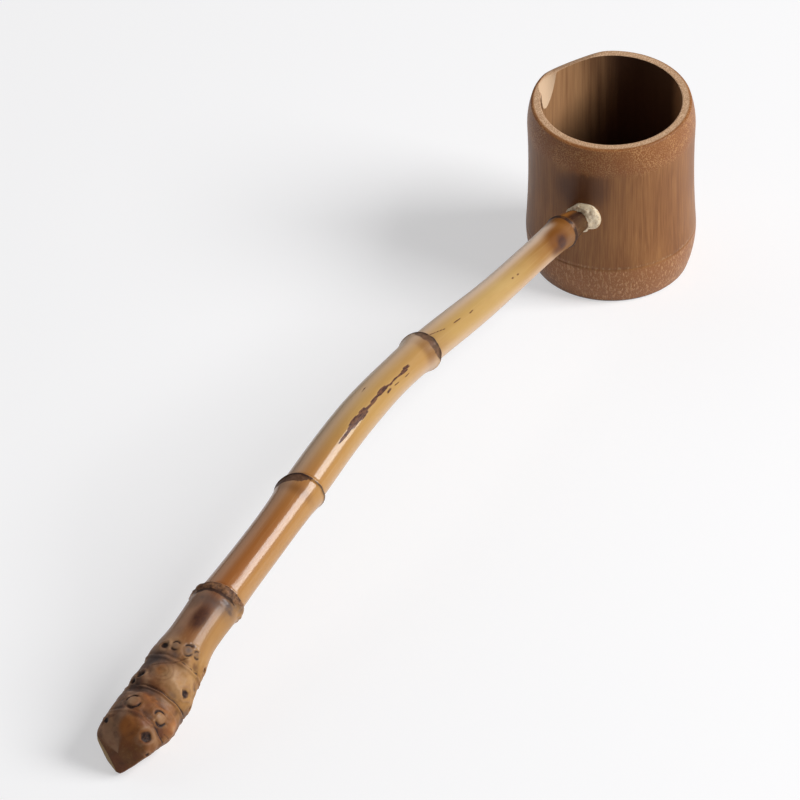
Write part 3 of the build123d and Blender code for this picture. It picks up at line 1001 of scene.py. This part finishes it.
    grain = lattice_noise(straight, 0.9, 51) * 0.4 + lattice_noise(straight, 2.4, 52) * 0.6
    ring, line = np.zeros_like(radius), np.zeros_like(radius)
    for number, start_past, width, middle_turn, spread_round in NODE_BANDS:
        past = moved - nodes[number] + 0.35 * grain
        away = np.abs(turn_from(turn, middle_turn)) + 0.15 * grain
        wide = width * (1 - ease(away, radians(spread_round) * 0.5, radians(spread_round) * 1.15))
        band = ease(past, start_past - 0.25, start_past + 0.25)
        band = band * (1 - ease(past, start_past + wide - 0.4, start_past + wide + 0.4))
        band = band * ease(wide, 0.15, 0.6)
        if width < 2:
            line = np.maximum(line, band * ease(grain, -0.9, 0.1) * (0.90 if number in (1, 2) else 1.0))
        else:
            ring = np.maximum(ring, band * (0.70 if number == 1 else 1.0))
    # Painted highlight: a pale line just before each of the first four nodes, on the side towards the lamp
    edge = np.max([bell(moved - node, -0.10, 0.30) for node in nodes[:4]], axis=0)
    edge = edge * (1 - ease(np.abs(turn_from(turn, 10)), 0.7, 1.5))

    # The grown rings on the swelling of the knob, one each ring_gap out from their middle
    ring_gap, middle_along, middle_round = 1.7, 291.5, 84
    apart = np.hypot(place - middle_along, turn_from(turn, middle_round) * radius) + 0.35 * coarse
    contour = bell(apart % ring_gap, ring_gap / 2, 0.3) * (1 - ease(apart, 4.0, 6.5)) * ease(apart, 0.6, 1.4)
    contour = contour * (1 - ease(np.abs(turn_from(turn, 62)), 0.30, 0.55))

    tip = solids_box[1][0] / MM
    radius_out = base + extra
    run = outwards[..., 0]
    room = np.where(run > 0.02, (tip - 0.05 - heart[..., 0]) / np.maximum(run, 0.02), FAR_REACH)
    radius_out = np.maximum(np.minimum(np.minimum(radius_out, rest), room), LEAST_REACH)
    rings = heart + outwards * radius_out[..., None]
    layers = {
        "straight": straight,
        "relief": extra - coarse * 0.1,
        "dark": dark,
        "pale": np.clip(pale, 0, 1),
        "streak": streak,
        "ring": ring,
        "line": line,
        "edge": edge,
        "contour": contour,
        "pared": pared,
        **{tone: soft_spots(place, turn, radius, spots) for tone, spots in SKIN_SPOTS.items()},
    }
    return shell("root_handle", rings, **layers)


def handle_material(sizes):
    """Lacquered bamboo root: its colour follows the line from straw to amber to root brown, and is painted
    yellower on the side towards the lamp as painted light, with a painted pale sheen on its edges and far
    side near the cup. The nodes have dark bands, with a painted highlight line before the first four and a
    painted shadow line under the ridge of the fourth. The root marks are dark, with a painted highlight round
    each pit, high places on the knob are pale with wear and a few painted highlights, and a clear coat, thin
    near the cup, covers all but the rough places."""
    start, finish = new_material("root_bamboo")

    def read(name, output=2):
        return start.node("ShaderNodeAttribute", {"attribute_name": name}, output=output)

    straight = read("straight", 1)
    x, y, along = straight.parts()
    relief, dark, pale, streak, ring = (read(name) for name in ("relief", "dark", "pale", "streak", "ring"))
    line, edge, contour, pared = (read(name) for name in ("line", "edge", "contour", "pared"))
    amber, stain, grey, worn = (read(name) for name in SKIN_SPOTS)
    turn = start.math("ARCTAN2", y, x)
    drift = (straight.noise(0.05, 2.0, 0.5, (1, 1, 0.5), 2) * 12.0 - 6.0) * along.step(12.0, 40.0)
    cloud = straight.noise(0.16, 3.0, 0.55, (1, 1, 0.22), 9)
    fibre = straight.noise(1.5, 2.0, 0.6, (1, 1, 0.03), 4)
    mottle = straight.noise(0.8, 3.0, 0.6, (1, 1, 0.6), 71)
    length = 330.0
    stops = (
        (0, (0.034, 0.011, 0.006)),
        (9, (0.040, 0.012, 0.006)),
        (12, (0.260, 0.105, 0.024)),
        (20, (0.270, 0.110, 0.024)),
        (27, (0.290, 0.125, 0.026)),
        (34, (0.350, 0.175, 0.044)),
        (44, (0.460, 0.275, 0.088)),
        (60, tuple(sizes.straw_colour)),
        (98, (0.490, 0.300, 0.095)),
        (108, (0.430, 0.250, 0.085)),
        (113, (0.280, 0.135, 0.048)),
        (119, (0.470, 0.260, 0.080)),
        (130, (0.490, 0.285, 0.090)),
        (155, (0.490, 0.285, 0.082)),
        (172, (0.460, 0.245, 0.062)),
        (191, (0.430, 0.190, 0.044)),
        (200, (0.400, 0.160, 0.034)),
        (220, tuple(sizes.amber_colour)),
        (250, (0.340, 0.115, 0.024)),
        (258, (0.250, 0.092, 0.034)),
        (268, (0.230, 0.080, 0.028)),
        (279, (0.280, 0.120, 0.042)),
        (290, (0.270, 0.115, 0.042)),
        (305, (0.215, 0.078, 0.025)),
        (330, tuple(sizes.root_colour)),
    )
    tone = start.node(
        "ShaderNodeValToRGB",
        {"stops": [(place / length, colour) for place, colour in stops]},
        i0=(along + drift) / length,
    )
    # Painted light: the side towards the lamp is painted yellower
    facing = x / start.math("SQRT", x * x + y * y)
    lit_side = (facing + (cloud - 0.5) * 0.5).step(0.30, 0.98)
    knob_side = along.step(292.0, 308.0)
    lit_side = lit_side * (along.step(118.0, 200.0) * 0.55 + 0.10) * (1 - knob_side * 0.85)
    yellow = lit_side.mix(tone, (0.560, 0.300, 0.085))
    deep = yellow.scaled((0.78, 0.62, 0.50))
    colour = (cloud.step(0.42, 0.78) * 0.40).mix(yellow, deep)
    colour = (fibre.step(0.5, 0.8) * 0.14).mix(colour, (0.66, 0.44, 0.20))
    # Painted reflection: a pale pink sheen painted on both edges, away from the lamp's highlight
    painted_edge_sheen = start.math("ABSOLUTE", turn - 0.75).step(0.30, 1.15) * (1 - along.step(90.0, 180.0) * 0.6)
    painted_edge_sheen = painted_edge_sheen * along.step(15.0, 30.0) * (1 - along.step(180.0, 215.0)) * 0.8
    colour = painted_edge_sheen.mix(colour, (0.740, 0.520, 0.350))
    # Painted reflection: a pale sheen painted on the far side of the internodes near the cup
    far_side = turn.step(1.35, 1.95) * (1 - turn.step(2.6, 3.1))
    far_side = far_side * along.step(14.0, 21.0) * (1 - along.step(50.0, 108.0) * 0.75)
    colour = (far_side * (0.85 + (cloud - 0.5) * 0.6)).mix(colour, (0.860, 0.660, 0.510))

    low_side = turn.step(1.45, 2.2) * (1 - turn.step(2.6, 3.1))
    low_side = low_side * along.step(185.0, 215.0) * (1 - along.step(252.0, 280.0) * 0.6)
    colour = (low_side * 0.55).mix(colour, (0.560, 0.240, 0.070))
    neck = 1 - along.step(9.0, 10.6)
    neck = neck * turn.step(1.30, 1.75) * (1 - turn.step(2.5, 3.0))
    colour = neck.mix(colour, (0.340, 0.130, 0.026))
    on_knob = along.step(276.0, 284.0)
    colour = amber.step(0.05, 0.7).mix(colour, on_knob.mix((0.190, 0.065, 0.010), (0.400, 0.140, 0.035)))
    stain = stain.step(0.15, 0.85) * (0.85 + (mottle - 0.5) * 0.8)
    colour = stain.mix(colour, on_knob.mix((0.062, 0.022, 0.014), (0.055, 0.024, 0.016)))

    rust = straight.noise(0.23, 3.0, 0.6, (1, 1, 1), 21)
    wear = (relief * 0.8 + (rust - 0.5) * 1.4 + (mottle - 0.5) * 0.8).step(0.05, 0.65)
    hollow = 1 - (relief * 1.1 + (rust - 0.5) * 1.0).step(-0.50, 0.10)
    colour = (on_knob * wear * (0.42 - knob_side * 0.22)).mix(colour, (0.400, 0.195, 0.072))
    colour = (on_knob * hollow * 0.80).mix(colour, (0.060, 0.022, 0.012))
    red = straight.noise(0.20, 2.0, 0.5, (1, 1, 1), 33).step(0.52, 0.66)
    colour = (on_knob * red * 0.45).mix(colour, (0.200, 0.060, 0.022))
    # Pale wear on the knob, and painted highlights at two of these spots
    colour = (worn * (0.75 + (mottle - 0.5) * 0.9)).mix(colour, (0.500, 0.300, 0.150))
    colour = (grey * (0.85 + (mottle - 0.5) * 0.9)).mix(colour, (0.125, 0.085, 0.072))
    # Pale disc faces, and painted highlights round the pits
    colour = pale.mix(colour, (0.360, 0.200, 0.110))
    colour = (contour * 0.45).mix(colour, (0.200, 0.085, 0.035))

    rusty = straight.noise(0.75, 3.0, 0.6, (1, 1, 0.8), 61)
    torn = along.step(225.0, 240.0).mix((0.130, 0.062, 0.042), (0.260, 0.122, 0.056))
    ring_tone = rusty.step(0.36, 0.66).mix((0.055, 0.025, 0.018), torn)
    colour = (ring.step(0.10, 0.8) * 0.85).mix(colour, ring_tone)
    # Dark lines at the nodes, one of them a painted shadow under the ridge of the fourth node
    colour = (line.step(0.10, 0.8) * 0.85).mix(colour, (0.030, 0.014, 0.012))
    # The painted highlight line before the nodes
    colour = (edge * 0.6).mix(colour, (0.620, 0.460, 0.290))
    colour = (pared * 0.85).mix(colour, (0.460, 0.300, 0.135))
    pared_line = pared.step(0.05, 0.35) * (1 - pared.step(0.55, 0.9))
    colour = (pared_line * 0.7).mix(colour, (0.060, 0.028, 0.014))
    rot = straight.noise(1.6, 3.0, 0.7, (1, 1, 0.3), 44)
    rotten = rot.step(0.35, 0.65).mix((0.055, 0.018, 0.012), (0.180, 0.070, 0.030))
    colour = streak.step(0.25, 0.7).mix(colour, rotten)
    speck = straight.noise(1.1, 2.0, 0.6, (1, 1, 1), 81).step(0.44, 0.66)
    colour = dark.step(0.15, 0.80).mix(colour, speck.mix((0.020, 0.009, 0.007), (0.085, 0.038, 0.024)))

    height = fibre * 0.10 + rusty * ring * 2.2 - streak * 0.7 + mottle * on_knob * 0.5 - contour * 0.4
    bump = start.node("ShaderNodeBump", Height=height, Distance=0.00022, Strength=0.6)
    bare = ring * 0.9 + line * 0.6 + dark + streak * 0.8 + grey * 0.6 + pared * 0.5 + on_knob * 0.75
    bare = bare.step(0.0, 1.0)
    coat = (0.08 + along.step(70.0, 200.0) * 0.57 - along.step(246.0, 262.0) * 0.40) * (1 - bare)
    roughness = 0.44 + bare * 0.12 + cloud * 0.05
    return finish(
        Base_Color=colour,
        Roughness=roughness,
        Normal=bump,
        Specular_IOR_Level=0.22,
        Coat_Weight=coat,
        Coat_Roughness=0.13,
    )


def make_filler(cup, sizes):
    """The putty as rings round the tenon. From ring to ring it leaves the tenon over the bead, comes down on
    the wall at the bead's edge, follows the hole through the wall and comes back to the tenon over the thin
    bead inside."""
    turn = np.linspace(-pi, pi, BEAD_COLUMNS, endpoint=False)
    hole, inner = 6.0, 4.3
    waist, bore = cup.waist_diameter / 2 / MM, cup.bore_diameter / 2 / MM
    joint, forward = joint_frame(waist)
    up = np.array([-forward[2], 0, forward[0]])
    outwards = np.cos(turn)[:, None] * np.array([0, 1.0, 0]) + np.sin(turn)[:, None] * up

    def reach_to(radius, away):
        spot = joint + outwards * away[..., None]
        a = forward[0] ** 2
        b = spot[..., 0] * forward[0]
        c = spot[..., 0] ** 2 + spot[..., 1] ** 2 - radius**2
        return (-b + np.sqrt(b * b - a * c)) / a

    def offset_circle(size, across, rise):
        apart, facing = np.hypot(across, rise), np.arctan2(rise, across)
        return apart * np.cos(turn - facing) + np.sqrt(size**2 - (apart * np.sin(turn - facing)) ** 2)

    grain = lattice_noise(np.stack([np.cos(turn) * 5, np.sin(turn) * 5, 0 * turn], axis=-1), 1.5, 2)
    edge = offset_circle(sizes.bead_diameter / 2 / MM, 2.1, 1.9) + 0.35 * grain
    for end, spread in ((radians(105), 0.42), (radians(-32), 0.20)):
        edge = edge - 1.3 * bell(turn, end, spread)
    plug = offset_circle(hole, 0.95, 0.95)
    edge, inside_plug = np.maximum(edge, inner + 0.3), np.maximum(plug, inner + 0.3)
    rings = []

    def add_ring(away, reach):
        rings.append(joint + outwards * away[:, None] + forward * reach[:, None])

    for part in np.linspace(0, 1, 14):
        away = inner + (edge - inner) * part
        spot = outwards * away[:, None]
        bumps = 1 + 0.45 * lattice_noise(spot, 1.6, 7) + 0.22 * lattice_noise(spot, 0.8, 8)
        crown = sizes.bead_rise / MM * np.sqrt(np.clip(1 - part**2.5, 0, 1)) * bumps
        add_ring(away, reach_to(waist, away) + crown - 0.1 * (part == 1))
    middle = np.minimum(plug, edge - 0.05)
    for depth in (0.35, 1.5):
        add_ring(middle, reach_to(waist, middle) - depth)
    for depth in (0.8, 0.05):
        add_ring(inside_plug, reach_to(bore, inside_plug) + depth)
    for part in np.linspace(1, 0, 6)[1:]:
        away = inner + (inside_plug - inner) * part
        add_ring(away, reach_to(bore, away) - 0.45 * np.sqrt(1 - part**2))
    on_tenon = np.full(BEAD_COLUMNS, inner)
    add_ring(on_tenon, (reach_to(bore, on_tenon) + reach_to(waist, on_tenon)) / 2)
    return shell("putty_filler", np.array(rings), closed_ends=False)


def filler_material(sizes):
    """Dried putty: cream, grainy and a little shiny, stained in soft patches."""
    start, finish = new_material("filler")
    place = start.node("ShaderNodeTexCoord", output=3).scaled((1000, 1000, 1000))
    grain = place.noise(1.3, 3.0, 0.6)
    stain = place.noise(0.45, 2.0, 0.5, (1, 1, 1), 5)
    colour = grain.step(0.28, 0.50).mix((0.70, 0.46, 0.24), sizes.putty_colour)
    colour = (stain.step(0.58, 0.74) * 0.4).mix(colour, (0.60, 0.38, 0.20))
    bump = start.node("ShaderNodeBump", Height=grain, Distance=0.0003, Strength=0.7)
    return finish(Base_Color=colour, Roughness=0.28, Normal=bump, Specular_IOR_Level=0.8)


def dress(piece, node, material):
    """Gives a piece its material and its body, and hides the solid that it stands for."""
    piece.data.materials.append(material)
    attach(piece, "root")
    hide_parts(node)


def make_light(name, place, target, size, power):
    """A soft rectangular lamp of this size that faces the target, all in metres and watts."""
    data = bpy.data.lights.new(name, "AREA")
    data.shape = "RECTANGLE"
    data.size, data.size_y = size
    data.energy = power
    lamp = bpy.data.objects.new(name, data)
    lamp.location = place
    lamp.rotation_euler = (target - place).to_track_quat("-Z", "Y").to_euler()
    bpy.context.scene.collection.objects.link(lamp)


def make_camera(settings):
    """A camera far off with a long lens, so that the view is nearly parallel. It looks along the photograph's
    direction, and its scale in pixels a millimetre is the photograph's, in an image 800 pixels wide. Gives
    the directions to its right and back to it from the dipper."""
    turn, rise = settings.camera_angle, settings.camera_rise
    right = Vector((cos(turn), sin(turn), 0))
    back = Vector((sin(turn) * cos(rise), -cos(turn) * cos(rise), sin(rise)))
    up = back.cross(right)
    scale, image_size, distance, sensor = 2.814, 800, 12.0, 36.0
    base_pixel = (610.9, 255.8)
    centre = image_size / 2
    target = (right * (centre - base_pixel[0]) - up * (centre - base_pixel[1])) / scale * MM
    data = bpy.data.cameras.new("camera")
    data.sensor_width = sensor
    data.lens = scale * sensor * distance / MM / image_size
    data.clip_end = distance * 2
    camera = bpy.data.objects.new("camera", data)
    camera.matrix_world = Matrix((*zip(right, up, back, target + back * distance), (0, 0, 0, 1)))
    bpy.context.scene.collection.objects.link(camera)
    bpy.context.scene.camera = camera
    return right, back


def make_stage(settings):
    """The paper floor, the lamps, the sky and the camera."""
    right, back = make_camera(settings)
    half = 3.0
    mesh = bpy.data.meshes.new("paper_floor")
    corners = [(-half, -half, 0), (half, -half, 0), (half, half, 0), (-half, half, 0)]
    mesh.from_pydata(corners, [], [(0, 1, 2, 3)])
    floor = bpy.data.objects.new("paper_floor", mesh)
    bpy.context.scene.collection.objects.link(floor)

    start, finish = new_material("paper")
    seen = start.node("ShaderNodeLightPath")
    seen = start.math("MAXIMUM", seen, start.node("ShaderNodeLightPath", output=3))
    seen = start.math("MAXIMUM", seen, start.node("ShaderNodeLightPath", output=6))
    dimmed = [part * (1 - settings.floor_lift) for part in settings.floor_colour]
    paper = start.node("ShaderNodeBsdfDiffuse", Color=seen.mix(settings.floor_colour, dimmed))
    lift = start.node("ShaderNodeEmission", Color=(1, 1, 1.01, 1), Strength=seen * settings.floor_glow)
    mesh.materials.append(finish(start.node("ShaderNodeAddShader", i0=paper, i1=lift)))

    world = bpy.data.worlds.new("studio")
    world.use_nodes = True
    sky = world.node_tree.nodes["Background"]
    sky.inputs["Color"].default_value = (1.0, 1.0, 1.02, 1)
    sky.inputs["Strength"].default_value = settings.sky
    bpy.context.scene.world = world

    middle, key_distance, fill_distance = Vector((0.12, 0, 0.03)), 2.2, 2.4
    level_right = Vector((right.x, right.y, 0))
    level_near = Vector((back.x, back.y, 0)).normalized()
    turn, rise = settings.key_angle, settings.key_rise
    aim = (level_near * cos(turn) + level_right * sin(turn)) * cos(rise) + Vector((0, 0, sin(rise)))
    make_light("key", middle + aim * key_distance, middle, (1.1, 1.2), settings.key_power)
    far_side = (Vector((0, 0, 0.85)) - level_right - level_near * 0.8).normalized()
    make_light("fill", middle + far_side * fill_distance, middle, (3.0, 2.0), settings.fill_power)
    bpy.context.scene.view_settings.view_transform = "Standard"


class DIPPER_OT_cup(bpy.types.Operator):
    """Make the cup with its lip, planed band and hollow"""

    bl_idname = "dipper.cup"
    bl_label = "Cup"

    def execute(self, context):
        sizes = context.scene.dipper_cup
        dress(make_cup(sizes), "cup", cup_material(sizes))
        return {"FINISHED"}


class DIPPER_OT_handle(bpy.types.Operator):
    """Make the root handle with its nodes and knob"""

    bl_idname = "dipper.handle"
    bl_label = "Handle"

    def execute(self, context):
        sizes = context.scene.dipper_handle
        dress(make_handle(sizes), "handle", handle_material(sizes))
        return {"FINISHED"}


class DIPPER_OT_filler(bpy.types.Operator):
    """Make the putty round the tenon"""

    bl_idname = "dipper.filler"
    bl_label = "Filler"

    def execute(self, context):
        scene = context.scene
        piece = make_filler(scene.dipper_cup, scene.dipper_filler)
        dress(piece, "joint_filler", filler_material(scene.dipper_filler))
        return {"FINISHED"}


class DIPPER_OT_stage(bpy.types.Operator):
    """Make the floor, the lamps and the camera"""

    bl_idname = "dipper.stage"
    bl_label = "Stage"

    def execute(self, context):
        make_stage(context.scene.dipper_stage)
        return {"FINISHED"}


class DIPPER_PT_panel(bpy.types.Panel):
    """Lists the dipper's pieces"""

    bl_idname = "DIPPER_PT_panel"
    bl_label = "Bamboo Dipper"
    bl_space_type = "VIEW_3D"
    bl_region_type = "UI"
    bl_category = "Dipper"

    def draw(self, context):
        for group, operator in (
            ("dipper_cup", "dipper.cup"),
            ("dipper_handle", "dipper.handle"),
            ("dipper_filler", "dipper.filler"),
            ("dipper_stage", "dipper.stage"),
        ):
            box = self.layout.box()
            settings = getattr(context.scene, group)
            for name in settings.bl_rna.properties.keys():
                if name not in ("rna_type", "name"):
                    box.prop(settings, name)
            box.operator(operator)


CLASSES = (
    CupSettings,
    HandleSettings,
    FillerSettings,
    StageSettings,
    DIPPER_OT_cup,
    DIPPER_OT_handle,
    DIPPER_OT_filler,
    DIPPER_OT_stage,
    DIPPER_PT_panel,
)


def register():
    for made in CLASSES:
        bpy.utils.register_class(made)
    bpy.types.Scene.dipper_cup = bpy.props.PointerProperty(type=CupSettings)
    bpy.types.Scene.dipper_handle = bpy.props.PointerProperty(type=HandleSettings)
    bpy.types.Scene.dipper_filler = bpy.props.PointerProperty(type=FillerSettings)
    bpy.types.Scene.dipper_stage = bpy.props.PointerProperty(type=StageSettings)


def unregister():
    for name in ("dipper_cup", "dipper_handle", "dipper_filler", "dipper_stage"):
        delattr(bpy.types.Scene, name)
    for made in reversed(CLASSES):
        bpy.utils.unregister_class(made)


def main():
    register()
    bpy.ops.dipper.stage()
    bpy.ops.dipper.cup()
    bpy.ops.dipper.handle()
    bpy.ops.dipper.filler()


if __name__ == "__main__":
    main()
